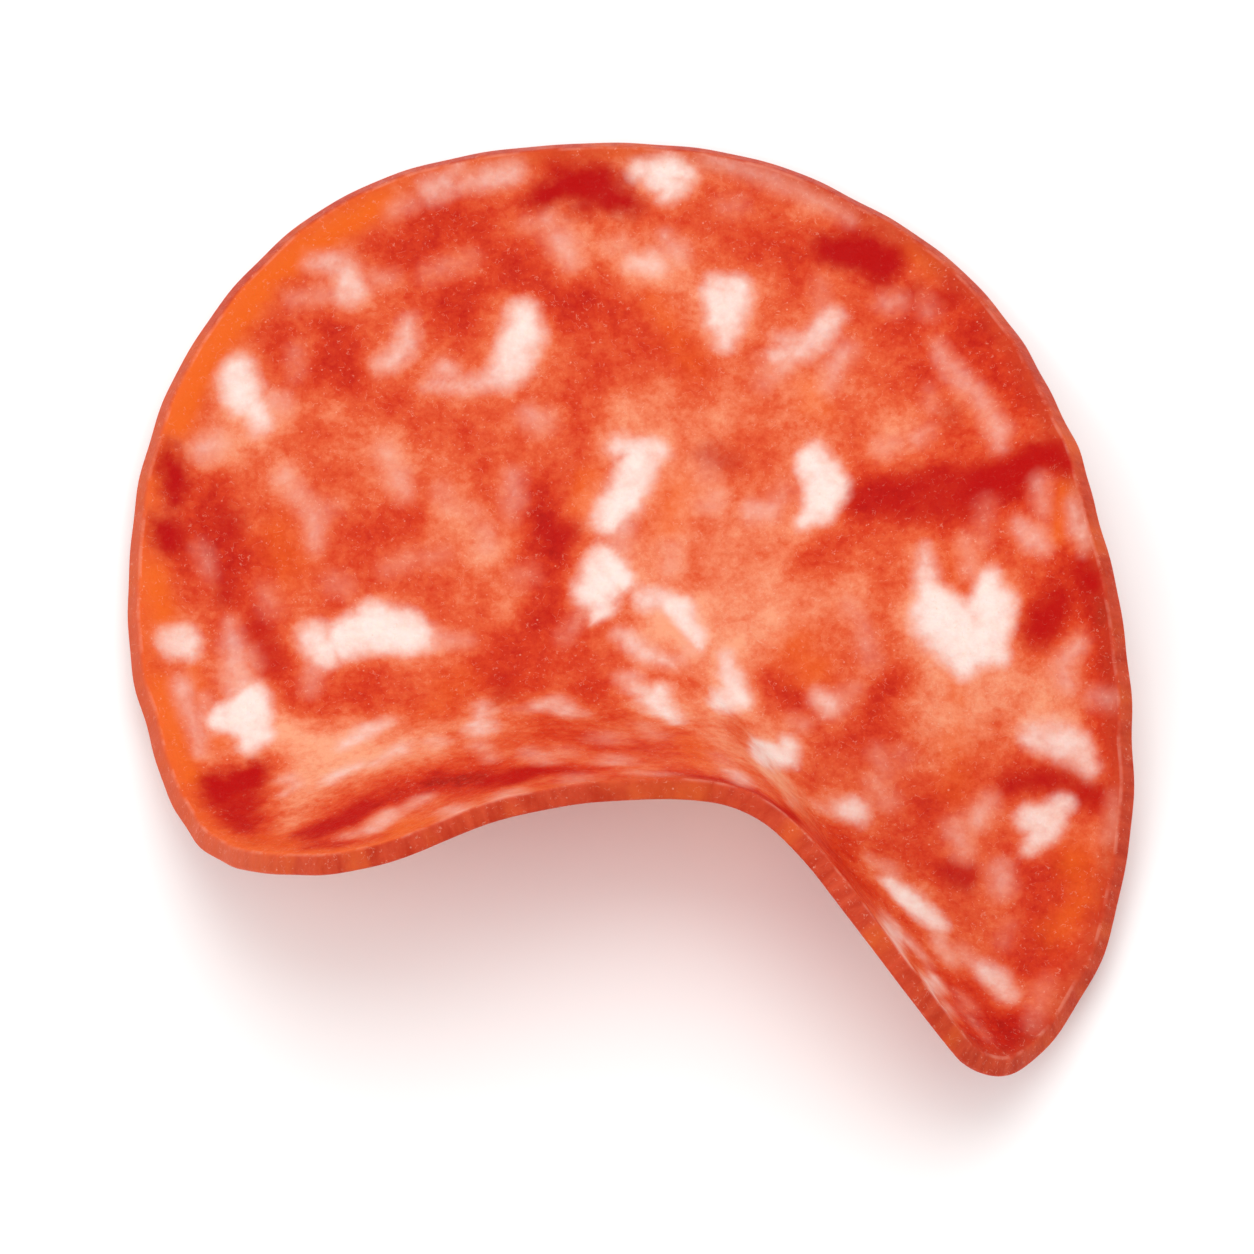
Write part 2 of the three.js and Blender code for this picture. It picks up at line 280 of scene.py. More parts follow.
DEEP_PIECES_AND_RIM_SHADE = [
    (1.00, (-36.4, 15.2, 0.7), (-36.0, 13.0, 1.1), (-36.1, 11.6, 0.6)),
    (1.00, (-38.0, 9.9, 0.6), (-36.9, 8.9, 1.3)),
    (0.70, (-32.2, 9.8, 0.8), (-31.7, 9.1, 0.9)),
    (0.70, (-33.2, 5.0, 0.6), (-33.0, 3.4, 0.7)),
    (0.60, (-30.9, 1.2, 0.7), (-30.5, -0.8, 0.9), (-30.3, -2.6, 0.6)),
    (1.00, (-37.2, -13.0, 1.2), (-36.4, -14.6, 1.9), (-34.8, -13.8, 1.9), (-33.6, -12.4, 1.0)),
    (0.70, (-35.4, -15.6, 1.8), (-35.6, -20.0, 1.2)),
    (1.00, (-7.2, 33.0, 0.9), (-5.2, 34.3, 1.4), (-3.0, 33.8, 1.8), (-0.9, 32.4, 1.1)),
    (0.80, (-4.0, 32.2, 0.8), (-1.2, 34.4, 0.8)),
    (1.00, (13.9, 29.0, 1.1), (16.4, 29.1, 1.8), (17.9, 28.4, 1.8)),
    (0.60, (20.4, 26.1, 0.5), (20.8, 26.6, 0.4)),
    (0.70, (22.8, 25.9, 0.5), (23.4, 25.8, 0.5)),
    (0.40, (24.0, 15.8, 0.8), (24.1, 15.2, 0.7)),
    (0.60, (17.4, 7.8, 1.2), (21.0, 8.2, 2.0), (25.0, 8.8, 2.1)),
    (0.95, (26.6, 9.4, 1.4), (29.6, 10.3, 1.6), (32.2, 12.2, 1.1), (34.4, 11.4, 0.8)),
    (0.80, (34.5, 1.0, 0.9), (33.2, -0.8, 1.4)),
    (0.95, (36.3, 3.4, 0.5), (37.5, 2.2, 0.8)),
    (0.85, (32.6, -12.7, 0.7), (35.2, -12.2, 0.7), (37.2, -12.2, 0.8), (39.4, -13.2, 0.9)),
    (0.90, (29.3, -20.6, 0.8), (30.5, -20.9, 0.7)),
    (0.70, (-6.8, 4.6, 0.6), (-6.0, 3.8, 0.9), (-4.6, 3.9, 0.4)),
    (0.50, (-12.2, -8.6, 1.0), (-11.8, -10.8, 1.1)),
    (0.50, (5.4, 10.4, 1.0), (6.6, 10.1, 0.9)),
    (0.90, (-30.6, -26.6, 0.5), (-28.4, -27.0, 1.0), (-26.2, -26.4, 1.6), (-24.4, -24.0, 1.1)),
    (0.95, (-13.4, -28.9, 1.2), (-11.0, -28.5, 1.6), (-12.0, -30.4, 1.2)),
    # painted shade: these two darken the front rim just inside its edge, where the face turns away
    # from the light
    (0.95, (3.0, -35.4, 1.2), (4.6, -34.0, 1.6), (6.2, -32.2, 1.3), (7.8, -30.0, 0.8)),
    (0.90, (-1.2, -31.2, 0.4), (1.8, -31.8, 0.5), (4.4, -33.0, 0.6), (7.0, -32.0, 0.5)),
    (0.25, (35.0, -35.6, 1.4), (36.4, -33.6, 1.2)),
]

# Broad changes in the lean, and painted rim shade: an amount, lighter above zero and darker below,
# and soft round zones.
TONE_AND_SHADE_ZONES = [
    (0.45, (-31.5, 15.5, 4.0)),
    (0.30, (-24.0, 14.0, 3.5), (-20.0, 12.5, 3.0)),
    (-0.35, (-13.5, 31.5, 2.8), (-18.0, 29.5, 2.2)),
    (-0.30, (-21.0, 21.0, 2.5), (-27.5, 21.0, 1.8)),
    (-0.35, (-9.0, 26.8, 2.0), (-5.0, 22.5, 1.6)),
    (-0.30, (-4.0, 23.5, 1.8), (-2.5, 18.0, 2.2), (0.5, 19.5, 1.6)),
    (0.40, (-1.0, 14.0, 3.5), (5.0, 13.0, 3.5)),
    (0.45, (-3.5, 28.5, 2.0), (1.0, 27.0, 2.6), (3.5, 24.5, 2.0)),
    (0.30, (12.0, 15.0, 4.0), (18.0, 14.0, 4.0)),
    (-0.35, (17.0, 24.0, 3.0), (26.0, 22.5, 3.0), (30.5, 17.0, 2.4)),
    (-0.25, (-13.5, 24.0, 2.6), (-16.0, 27.0, 2.6)),
    (-0.55, (17.0, 8.0, 2.2), (29.0, 9.5, 2.8), (34.0, 11.8, 1.6)),
    (-0.35, (-34.0, 12.0, 3.0), (-32.5, 3.0, 2.6), (-30.5, -3.0, 1.8)),
    (-0.25, (-28.0, -5.6, 1.8), (-23.0, -5.0, 2.0)),
    (0.70, (-29.5, -9.5, 2.6), (-27.5, -13.5, 4.0)),
    (0.50, (-24.0, -15.5, 4.0), (-19.0, -16.5, 3.0)),
    (0.45, (-31.0, -20.0, 3.2), (-31.0, -23.0, 2.4)),
    (-0.50, (-36.0, -16.0, 2.6), (-35.2, -22.0, 2.2), (-34.6, -24.5, 1.8)),
    (-0.30, (-30.0, -29.5, 2.4), (-27.0, -33.0, 2.0)),
    (-0.50, (-29.0, -27.0, 2.2), (-20.0, -24.0, 3.0), (-15.0, -26.5, 2.6)),
    (-0.40, (-15.0, -29.5, 2.6), (-9.0, -29.0, 2.2)),
    (-0.55, (-7.4, 7.0, 2.0), (-6.6, 2.5, 1.8), (-9.0, -2.5, 2.2)),
    (-0.18, (-12.0, -4.5, 2.6), (-7.0, -8.0, 3.2), (-5.5, -11.5, 2.6)),
    (-0.15, (-8.5, -18.5, 2.4), (-7.0, -22.0, 2.4), (-4.5, -24.5, 2.6)),
    (0.35, (-11.0, -0.6, 2.4), (-13.5, 6.5, 2.4)),
    (0.60, (9.0, 3.0, 4.0), (9.0, -3.0, 4.0), (14.0, -1.0, 3.2)),
    (0.40, (6.0, -9.0, 2.5), (11.0, -11.5, 2.2)),
    (0.35, (2.5, 6.0, 3.0), (2.5, 0.8, 2.6)),
    (0.90, (1.4, -4.6, 1.8), (3.4, -5.2, 1.7)),
    (0.55, (1.8, -15.0, 2.6), (2.6, -22.0, 2.8)),
    (0.75, (13.0, -19.5, 2.4), (8.0, -24.0, 2.8)),
    (-0.45, (11.5, -7.2, 1.3), (15.0, -8.4, 1.0)),
    (-0.45, (22.0, -5.2, 1.9), (21.0, -10.0, 2.2)),
    (-0.25, (25.5, -16.0, 2.4), (27.0, -20.0, 2.4)),
    (0.65, (28.0, -7.0, 3.0), (32.0, -5.8, 3.0), (35.5, -6.4, 2.2)),
    (0.35, (27.0, -10.5, 2.6), (18.0, 2.5, 2.6)),
    # painted shade: the right rim darkened, as if the light came from the left
    (-0.55, (33.6, 0.0, 2.4), (37.5, 2.4, 1.8), (39.2, -3.0, 1.6), (40.2, -10.0, 1.6)),
    (-0.40, (33.0, -12.6, 1.8), (39.5, -13.4, 1.8)),
    (-0.40, (37.0, -20.0, 2.6), (37.0, -26.0, 2.6)),
    (-0.45, (33.0, -31.5, 2.6), (36.0, -34.0, 3.0)),
    (-0.50, (38.8, -33.0, 2.2), (35.5, -37.0, 2.6), (31.5, -39.5, 2.6)),
    (-0.30, (28.5, -30.5, 1.6), (31.0, -35.0, 2.0)),
    (-0.30, (8.0, -32.0, 3.5), (14.0, -30.0, 4.0), (20.0, -25.5, 3.0), (20.0, -29.5, 2.6)),
    (-0.25, (13.0, -36.0, 3.0), (16.0, -39.0, 3.0)),
    # painted shade: darker just inside the front rim, where the face turns away from the light
    (-0.35, (-2.5, -31.5, 2.0), (2.6, -33.0, 1.8)),
]

ORANGE_ZONES = [
    (1.00, (-35.3, 17.5, 1.5), (-33.6, 21.4, 1.6), (-29.0, 26.6, 1.8), (-25.0, 30.0, 1.5),
     (-19.0, 33.6, 1.3)),
    (0.80, (-38.6, 6.0, 1.6), (-38.4, 3.0, 1.6)),
    (0.75, (-39.6, -3.0, 1.4), (-39.4, -9.5, 1.5), (-39.0, -12.0, 1.4)),
    (0.50, (-36.0, -8.8, 1.0), (-36.8, -2.0, 1.0)),
    (0.45, (-28.0, 8.0, 2.2), (-27.5, 5.0, 2.0)),
    (0.45, (-2.0, 37.0, 1.0), (3.0, 37.0, 1.0)),
    (0.40, (1.0, 23.5, 1.5), (4.0, 18.0, 1.5)),
    (0.55, (20.4, 29.6, 1.4), (21.8, 28.4, 1.4)),
    (0.60, (34.2, 9.4, 0.9), (34.0, 5.6, 0.9)),
    (0.45, (13.0, 15.0, 1.6), (12.5, 17.0, 1.4)),
    (0.50, (-3.8, 8.5, 1.4), (-4.0, 5.8, 1.2)),
    (0.45, (3.0, 7.5, 1.8), (2.0, 4.0, 1.6)),
    (0.50, (14.0, -4.5, 2.4), (15.5, -6.0, 2.0)),
    (0.35, (28.0, -13.5, 2.0), (25.8, 3.6, 1.2)),
    (0.55, (38.6, -18.0, 2.0), (40.2, -21.0, 1.6), (38.4, -24.0, 1.8)),
    (0.60, (-21.5, -32.6, 2.0), (-22.5, -34.6, 2.0), (-19.4, -34.4, 1.4)),
    (0.40, (-34.5, -24.5, 1.8), (-31.0, -29.5, 1.8)),
    (0.35, (-16.0, -7.6, 2.6), (-18.0, -10.4, 2.2)),
    (0.40, (-0.4, -21.0, 1.4), (-0.4, -27.0, 1.4)),
    (0.35, (16.4, -35.0, 1.6), (13.5, -38.0, 1.6)),
]

# Colours of the meat, linear red, green and blue with full cover. The stops of the lean run from
# its darkest tone at 0 to its lightest at 1.
LEAN_STOPS = [
    (0.00, (0.30, 0.003, 0.001, 1)),
    (0.22, (0.48, 0.012, 0.003, 1)),
    (0.42, (0.59, 0.040, 0.009, 1)),
    (0.60, (0.67, 0.095, 0.029, 1)),
    (0.78, (0.74, 0.192, 0.090, 1)),
    (1.00, (0.80, 0.330, 0.190, 1)),
]
ORANGE_LEAN = (0.76, 0.120, 0.008, 1)
# also used for the painted shade just inside the front rim
DEEP_LEAN_AND_RIM_SHADE = (0.43, 0.001, 0.0005, 1)
RIM_LEFT = (0.76, 0.130, 0.020, 1)
# painted shade: the right part of the rim strip is darker, as if the light came from the left
RIM_RIGHT_PAINTED_SHADE = (0.46, 0.042, 0.013, 1)
WALL_DARK = (0.44, 0.028, 0.008, 1)
WALL_LIGHT = (0.58, 0.068, 0.026, 1)
WALL_LEFT = (0.66, 0.120, 0.048, 1)
WALL_ORANGE = (0.64, 0.100, 0.020, 1)
DRY_EDGE = (0.80, 0.380, 0.280, 1)
PINK_FAT = (0.75, 0.310, 0.225, 1)
WHITE_FAT = (0.83, 0.700, 0.645, 1)
FLECK = (0.80, 0.43, 0.31, 1)

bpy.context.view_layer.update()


# ---------------------------------------------------------------- numbers over the flat slice

def closed_curve(values, direction):
    """A smooth closed curve, a uniform cubic B-spline led by values spaced evenly over a turn."""
    position = direction / FULL_TURN * len(values)
    start = np.floor(position).astype(int)
    t = position - start
    weights = ((1 - t) ** 3 / 6, (3 * t ** 3 - 6 * t ** 2 + 4) / 6,
               (-3 * t ** 3 + 3 * t ** 2 + 3 * t + 1) / 6, t ** 3 / 6)
    return sum(weight * values[(start - 1 + k) % len(values)] for k, weight in enumerate(weights))


def slope_at(direction):
    """Slope of the curled slice along a line from the rest point, in radians."""
    return np.maximum(np.radians(closed_curve(SLOPES, direction)), LEAST_SLOPE)


def reach_at(direction):
    """Length of the flat slice from the rest point to its rim, in millimetres."""
    return closed_curve(REACHES, direction)


def turning_table():
    """Direction of each line once curled: the running sum of sqrt(1 - a'^2) / cos(a), a the slope.

    The sum is scaled to one full turn and shifted so that the line to the back stays put.
    """
    step = FULL_TURN / TURNING_STEPS
    middle = (np.arange(TURNING_STEPS) + 0.5) * step
    slope_rate = (slope_at(middle + SMALL_STEP) - slope_at(middle - SMALL_STEP)) / (2 * SMALL_STEP)
    rate = np.sqrt(np.maximum(1 - slope_rate ** 2, LEAST_TURNING)) / np.cos(slope_at(middle))
    turned = np.concatenate([[0.0], np.cumsum(rate)])
    turned *= FULL_TURN / turned[-1]
    flat = np.arange(TURNING_STEPS + 1) * step
    return flat, turned - (np.interp(BACK_DIRECTION, flat, turned) - BACK_DIRECTION)


FLAT_DIRECTIONS, CURLED_DIRECTIONS = turning_table()


def turned_direction(direction):
    """The curled direction of a flat direction, by the table, over any number of turns."""
    turns = np.floor(direction / FULL_TURN)
    within = np.interp(direction - turns * FULL_TURN, FLAT_DIRECTIONS, CURLED_DIRECTIONS)
    return within + turns * FULL_TURN


def lower_face(direction, distance):
    """A point of the lower face: a level stretch, an arc of BEND_RUN up to the slope, a straight.

    The outer RIM_LIFT_RUN rises further, as the square of the way into it.
    """
    slope = slope_at(direction)
    bent = np.clip((distance - LEVEL_RADIUS) / BEND_RUN, 0, 1)
    straight = np.maximum(distance - LEVEL_RADIUS - BEND_RUN, 0)
    out = np.minimum(distance, LEVEL_RADIUS) + BEND_RUN / slope * np.sin(slope * bent)
    up = BEND_RUN / slope * (1 - np.cos(slope * bent))
    out = out + straight * np.cos(slope)
    up = up + straight * np.sin(slope)
    into_rim = np.maximum((distance - reach_at(direction) + RIM_LIFT_RUN) / RIM_LIFT_RUN, 0)
    lift = RIM_LIFT_RUN / 2 * math.radians(RIM_LIFT_ANGLE) * np.cos(slope) ** 2 * into_rim ** 2
    out = out - lift * np.sin(slope)
    up = up + lift * np.cos(slope)
    turned = turned_direction(direction)
    return np.stack([out * np.cos(turned), out * np.sin(turned), up], -1)


def upward_normal(direction, distance):
    """The unit normal, from the cross product of two steps over the lower face.

    The steps are wide, NORMAL_STEP and NORMAL_TURN, so that the upper face doesn't pinch in folds.
    """
    here = np.maximum(distance, LEVEL_RADIUS / 2)
    outward = lower_face(direction, here + NORMAL_STEP) - lower_face(direction, here - NORMAL_STEP)
    around = lower_face(direction + NORMAL_TURN, here) - lower_face(direction - NORMAL_TURN, here)
    normal = np.cross(outward, around)
    return normal / np.linalg.norm(normal, axis=-1, keepdims=True)


def smoothed_grid(grid):
    """A grid of points, each inner one drawn halfway to the mean of the four beside it.

    That is done SMOOTHING_PASSES times, and the border stays put.
    """
    for _ in range(SMOOTHING_PASSES):
        middle = (grid[:-2, 1:-1] + grid[2:, 1:-1] + grid[1:-1, :-2] + grid[1:-1, 2:]) / 4
        grid = grid.copy()
        grid[1:-1, 1:-1] = (grid[1:-1, 1:-1] + middle) / 2
    return grid


def slice_points(direction, distance, height, relief):
    """The points of the slice: the lower face plus height along its normal, the upper evened out.

    Relief is added after that along the normal, in full on the upper face and not on the lower.
    """
    normal = upward_normal(direction, distance)
    points = lower_face(direction, distance) + normal * height[:, None]
    side = FACE_CELLS + 1
    upper = slice(side * side, 2 * side * side)
    points[upper] = smoothed_grid(points[upper].reshape(side, side, 3)).reshape(-1, 3)
    return points + normal * (relief * height / SLICE_THICKNESS)[:, None]


def rim_swelling(direction):
    """How far the rim swells out: a sum of bells, height * exp(-(angle / half-width)^2).

    A ripple goes on top, sine times sine plus half a finer sine, stronger at the front.
    """
    degrees = np.degrees(direction)
    total = np.zeros_like(direction)
    for centre, half_width, height in RIM_SWELLINGS:
        angle = (degrees - centre + 180) % 360 - 180
        total += height * np.exp(-(angle / half_width) ** 2)
    broad, slow, fine = (np.sin(waves * direction + start)
                         for waves, start in zip(RIPPLE_WAVES, RIPPLE_STARTS))
    return total + RIM_RIPPLE * (broad * slow + fine / 2) * (1 - BACK_CALM * np.sin(direction))


# ---------------------------------------------------------------- pieces in the cut face

def nearest_on_band(lobes, x, y):
    """Distance to the middle line of a row of lobes, and the lobe radius at that place.

    Between two lobes the radius runs evenly from one to the other. The place taken is the one
    where radius less distance is largest.
    """
    if len(lobes) == 1:
        lobes = lobes * 2
    distance = np.full_like(x, np.inf)
    radius = np.ones_like(x)
    for (x0, y0, r0), (x1, y1, r1) in zip(lobes, lobes[1:]):
        square = max((x1 - x0) ** 2 + (y1 - y0) ** 2, LEAST_DIVISOR)
        along = np.clip(((x - x0) * (x1 - x0) + (y - y0) * (y1 - y0)) / square, 0, 1)
        here = np.hypot(x - x0 - along * (x1 - x0), y - y0 - along * (y1 - y0))
        band = r0 + (r1 - r0) * along
        closer = band - here > radius - distance
        distance = np.where(closer, here, distance)
        radius = np.where(closer, band, radius)
    return distance, radius


def pieces_at(pieces, x, y):
    """How deep inside the nearest piece each point is, in millimetres, and how strong it is.

    Depth is the largest radius less distance, within DEPTH_LIMIT. Strength is the average of the
    strengths weighted by exp(depth / STRENGTH_BLEND).
    """
    deepest = np.full_like(x, -DEPTH_LIMIT)
    strength_sum = np.zeros_like(x)
    weight_sum = np.full_like(x, LEAST_DIVISOR)
    for strength, *lobes in pieces:
        distance, radius = nearest_on_band(lobes, x, y)
        depth = np.clip(radius - distance, -DEPTH_LIMIT, DEPTH_LIMIT)
        deepest = np.maximum(deepest, depth)
        weight = np.exp(depth / STRENGTH_BLEND)
        strength_sum += strength * weight
        weight_sum += weight
    return deepest, strength_sum / weight_sum


def zones_at(zones, x, y):
    """The sum of soft zones, each amount * exp(-(distance / radius)^2)."""
    total = np.zeros_like(x)
    for amount, *lobes in zones:
        distance, radius = nearest_on_band(lobes, x, y)
        total += amount * np.exp(-(distance / radius) ** 2)
    return total


def waves_at(x, y):
    """A gentle unevenness between -1 and 1: the mean of the crossed FACE_WAVES."""
    crossed = [np.sin(a * x + b * y + c) * np.cos(d * x + e * y + f)
               for a, b, c, d, e, f in FACE_WAVES]
    return sum(crossed) / len(crossed)


def marbling(direction, distance, height):
    """Everything the finish needs to know at each vertex, by attribute name.

    The pieces drift by UNDERSIDE_DRIFT along sine waves from the upper face to the lower one.
    """
    x = distance * np.cos(direction)
    y = distance * np.sin(direction)
    drift = UNDERSIDE_DRIFT * np.clip(1 - height / SLICE_THICKNESS, 0, 1)
    (x_rate, x_start), (y_rate, y_start) = DRIFT_WAVES
    x, y = x + drift * np.sin(x_rate * y + x_start), y + drift * np.cos(y_rate * x + y_start)
    fat_depth, fat_strength = pieces_at(FAT_PIECES, x, y)
    deep_depth, deep_strength = pieces_at(DEEP_PIECES_AND_RIM_SHADE, x, y)
    return {
        "fat_depth": fat_depth,
        "fat_strength": fat_strength,
        "deep_depth": deep_depth,
        "deep_strength": deep_strength,
        "tone": zones_at(TONE_AND_SHADE_ZONES, x, y),
        "orange": zones_at(ORANGE_ZONES, x, y),
        "from_rim": np.clip(reach_at(direction) + rim_swelling(direction) - distance, 0, RIM_LIMIT),
    }


# ---------------------------------------------------------------- the mesh

def disc_grid(cells):
    """A square grid wrapped onto a disc, each square ring becoming a round one.

    Returns the direction and the share of the way to the rim, both (cells + 1, cells + 1).
    """
    side = np.linspace(-1, 1, cells + 1)
    u, v = np.meshgrid(side, side, indexing="ij")
    wide = np.abs(u) > np.abs(v)
    share = np.where(wide, u, v)
    safe = np.where(share == 0, 1.0, share)
    direction = np.where(wide, v / safe * np.pi / 4, np.pi / 2 - u / safe * np.pi / 4)
    direction = np.where(share < 0, direction + np.pi, direction)
    return direction % FULL_TURN, np.abs(share)


def border_loop(cells):
    """Grid indices of the border, anticlockwise."""
    n = cells + 1
    index = np.arange(n * n).reshape(n, n)
    return np.concatenate([index[:-1, 0], index[-1, :-1], index[:0:-1, -1], index[0, :0:-1]])


def grid_quads(cells):
    """The quads of the grid, anticlockwise seen from above."""
    n = cells + 1
    corner = (np.arange(cells)[:, None] * n + np.arange(cells)[None, :]).ravel()
    return np.stack([corner, corner + n, corner + n + 1, corner + 1], -1)


def wall_section():
    """The rim's section as [how far in from the reach, height], from the lower face to the upper.

    Two quarter arcs of RIM_ROUNDING joined by a straight that leans in by RIM_LEAN.
    """
    half = WALL_STRIPS // 2
    quarter = np.linspace(0, np.pi / 2, half)
    low = np.stack([RIM_ROUNDING * (1 - np.sin(quarter)), RIM_ROUNDING * (1 - np.cos(quarter))], -1)
    high = np.stack([RIM_LEAN + RIM_ROUNDING * (1 - np.cos(quarter)),
                     SLICE_THICKNESS - RIM_ROUNDING * (1 - np.sin(quarter))], -1)
    return np.concatenate([low, high])


def slice_layout():
    """The flat layout of every vertex and the faces that join them.

    Returns direction, distance, height and the quads: the lower face's grid, the upper face's
    grid, and the loops of the wall between them.
    """
    direction, share = disc_grid(FACE_CELLS)
    direction, share = direction.ravel(), share.ravel()
    reach = reach_at(direction) + rim_swelling(direction)
    section = wall_section()
    lower = (direction, share * (reach - section[0, 0]), np.zeros_like(share))
    upper = (direction, share * (reach - section[-1, 0]), np.full_like(share, SLICE_THICKNESS))

    border = border_loop(FACE_CELLS)
    inner = section[1:-1]
    wall = (np.tile(direction[border], len(inner)),
            np.concatenate([reach[border] - inset for inset, _ in inner]),
            np.repeat(inner[:, 1], len(border)))

    count = len(direction)
    loops = [border]
    loops += [2 * count + k * len(border) + np.arange(len(border)) for k in range(len(inner))]
    loops += [count + border]
    walls = [np.stack([a, np.roll(a, -1), np.roll(b, -1), b], -1) for a, b in zip(loops, loops[1:])]
    quads = np.concatenate([grid_quads(FACE_CELLS)[:, ::-1], grid_quads(FACE_CELLS) + count] + walls)
    layout = [np.concatenate(parts) for parts in zip(lower, upper, wall)]
    return (*layout, quads)


def add_mesh(name, points, quads):
    """A mesh object of the given points, in metres, and quads."""
    mesh = bpy.data.meshes.new(name)
    mesh.vertices.add(len(points))
    mesh.vertices.foreach_set("co", points.astype(np.float32).ravel())
    mesh.loops.add(quads.size)
    mesh.loops.foreach_set("vertex_index", quads.astype(np.int32).ravel())
    mesh.polygons.add(len(quads))
    mesh.polygons.foreach_set("loop_start", np.arange(0, quads.size, 4, dtype=np.int32))
    mesh.polygons.foreach_set("use_smooth", np.ones(len(quads), bool))
    mesh.update(calc_edges=True)
    mesh.validate()
    thing = bpy.data.objects.new(name, mesh)
    bpy.context.scene.collection.objects.link(thing)
    return thing


def build_slice():
    """The slice's own mesh, moved so that its box sits on the CAD part's box.

    The upper face is raised where there is fat and by gentle waves, fading out down the rim.
    """
    direction, distance, height, quads = slice_layout()
    marks = marbling(direction, distance, height)
    fatness = np.clip(marks["fat_depth"] / FAT_CREST, 0, 1) * marks["fat_strength"]
    waves = waves_at(distance * np.cos(direction), distance * np.sin(direction))
    relief = FAT_RELIEF * fatness + WAVE_RELIEF * waves
    points = slice_points(direction, distance, height, relief) * MM

    low, high = (np.array(corner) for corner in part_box(NODE))
    shift = (low + high) / 2 - (points.max(0) + points.min(0)) / 2
    shift[2] = low[2] - points[:, 2].min()
    thing = add_mesh("salami_slice_surface", points + shift, quads)
    for name, values in marks.items():
        layer = thing.data.attributes.new(name, "FLOAT", "POINT")
        layer.data.foreach_set("value", values.astype(np.float32))
    flat = np.stack([distance * np.cos(direction), distance * np.sin(direction), 0 * distance], -1)
    layer = thing.data.attributes.new("flat_place", "FLOAT_VECTOR", "POINT")
    layer.data.foreach_set("vector", flat.astype(np.float32).ravel())
    return thing, shift


# ---------------------------------------------------------------- the finish of the meat

# Clouds of noise: cells per millimetre, octaves of detail and the roughness of the detail.
RAGGED_EDGES = (0.7, 4.0, 0.6)
BROAD_LEAN = (0.28, 3.0, 0.55)
FINE_LEAN = (1.5, 7.0, 0.75)
UNEVEN_ORANGE = (0.7, 3.0, 0.55)
WALL_STRIPES = (0.9, 4.0, 0.6)
WALL_WARMTH = (0.25, 3.0, 0.55)
DRY_STRETCHES = (0.35, 4.0, 0.6)
FAT_HAZE = (1.1, 3.0, 0.55)
FAT_MOTTLE = (0.5, 4.0, 0.6)
FIBRE_WINDING = (1.5, 2.0, 0.55)
FIBRE_PATCHES = (2.2, 1.0, 0.55)
COARSE_LUMPS = (1.0, 2.0, 0.55)
FINE_LUMPS = (3.0, 4.0, 0.6)
WET_PATCHES = (0.9, 3.0, 0.55)

# How far each cloud swings, from its lowest to its highest.
EDGE_SWING = 1.5              # millimetres
BROAD_SWING = 1.5
FINE_SWING = 1.2
ORANGE_SWING = 0.42
HAZE_SWING = 0.5
MOTTLE_SWING = 1.2

# Soft steps: where each one starts and where it is full. Depths and distances in millimetres.
HALO_STEP = (-2.4, 0.2)       # the lean lightens towards the fat
ORANGE_STEP = (0.0, 1.1)
DEEP_STEP = (-1.2, 1.0)
FAT_STEP = (-1.0, 1.0)
WHITENESS_STEP = (0.4, 1.5)
RIM_STEP = (2.8, 0.6)
# painted shade: across this span the rim strip darkens from left to right
RIM_SIDE_SHADE_STEP = (-34.0, 14.0)
WALL_STEP = (0.75, 0.4)
WALL_STRIPE_STEP = (0.24, 0.76)
WALL_LEFT_STEP = (-28.0, -38.0)
WALL_WARMTH_STEP = (0.45, 0.75)
DRY_LINE_STEP = (0.2, 0.05)
DRY_STRETCH_STEP = (0.42, 0.62)
SPECK_STEP = (-0.02, 0.08)
FIBRE_STEP = (0.02, 0.003)
FIBRE_PATCH_STEP = (0.5, 0.66)

# How much of itself each layer shows.
HALO_TONE = 0.45
RIM_COVER = 0.55
WALL_LEFT_COVER = 0.6
WALL_ORANGE_COVER = 0.8
DRY_LINE_COVER = 0.25
FIBRE_COVER = 0.7
FLECK_COVER = 0.42
FLECK_LOSS_ON_DEEP = 0.37

# Fat and deep red pieces, in millimetres.
DEEP_RAGGEDNESS = 1.3         # share of the ragged edge that a deep red piece takes
FAT_RAGGEDNESS = 0.7
FAT_SPREAD = 0.08             # how far fat shows past its lobes
FAINT_FAT_SOFTNESS = 1.2      # half the width of a faint piece's edge
FIRM_FAT_GAIN = 0.45          # how much narrower a full piece's edge is
FAT_WHITENING = 0.22          # by each millimetre of depth

# Specks, the dry line on the rim, the lumps and the wet sheen.
SPECKS_PER_MM = 1.3
LARGEST_SPECK = 0.15
DRY_LINE_FROM_RIM = 0.6
COARSE_LUMP_SHARE = 0.6
LUMP_STRENGTH = 0.5
LUMP_HEIGHT = 0.35
DRIEST_GAIN = 0.5             # roughness between the wettest and the driest place
WETTEST_ROUGHNESS = 0.22
SPECULAR_LEVEL = 0.07
SUBSURFACE_WEIGHT = 0.25
SUBSURFACE_RADIUS = (1.0, 0.35, 0.2)
SUBSURFACE_DEPTH = 0.7

# Sockets of a Mix node that mixes colours.
MIX_SHARE, MIX_FIRST, MIX_SECOND, MIX_RESULT = 0, 6, 7, 2


def add_node(tree, kind, links=None, **settings):
    """A shader node with its settings, and a value or a link for each named input."""
    node = tree.nodes.new(kind)
    for name, value in settings.items():
        setattr(node, name, value)
    for slot, value in (links or {}).items():
        if isinstance(value, bpy.types.NodeSocket):
            tree.links.new(value, node.inputs[slot])
        else:
            node.inputs[slot].default_value = value
    return node


def calculate(tree, operation, *values, clamp=False):
    """One step of arithmetic."""
    node = add_node(tree, "ShaderNodeMath", dict(enumerate(values)), operation=operation)
    node.use_clamp = clamp
    return node.outputs[0]


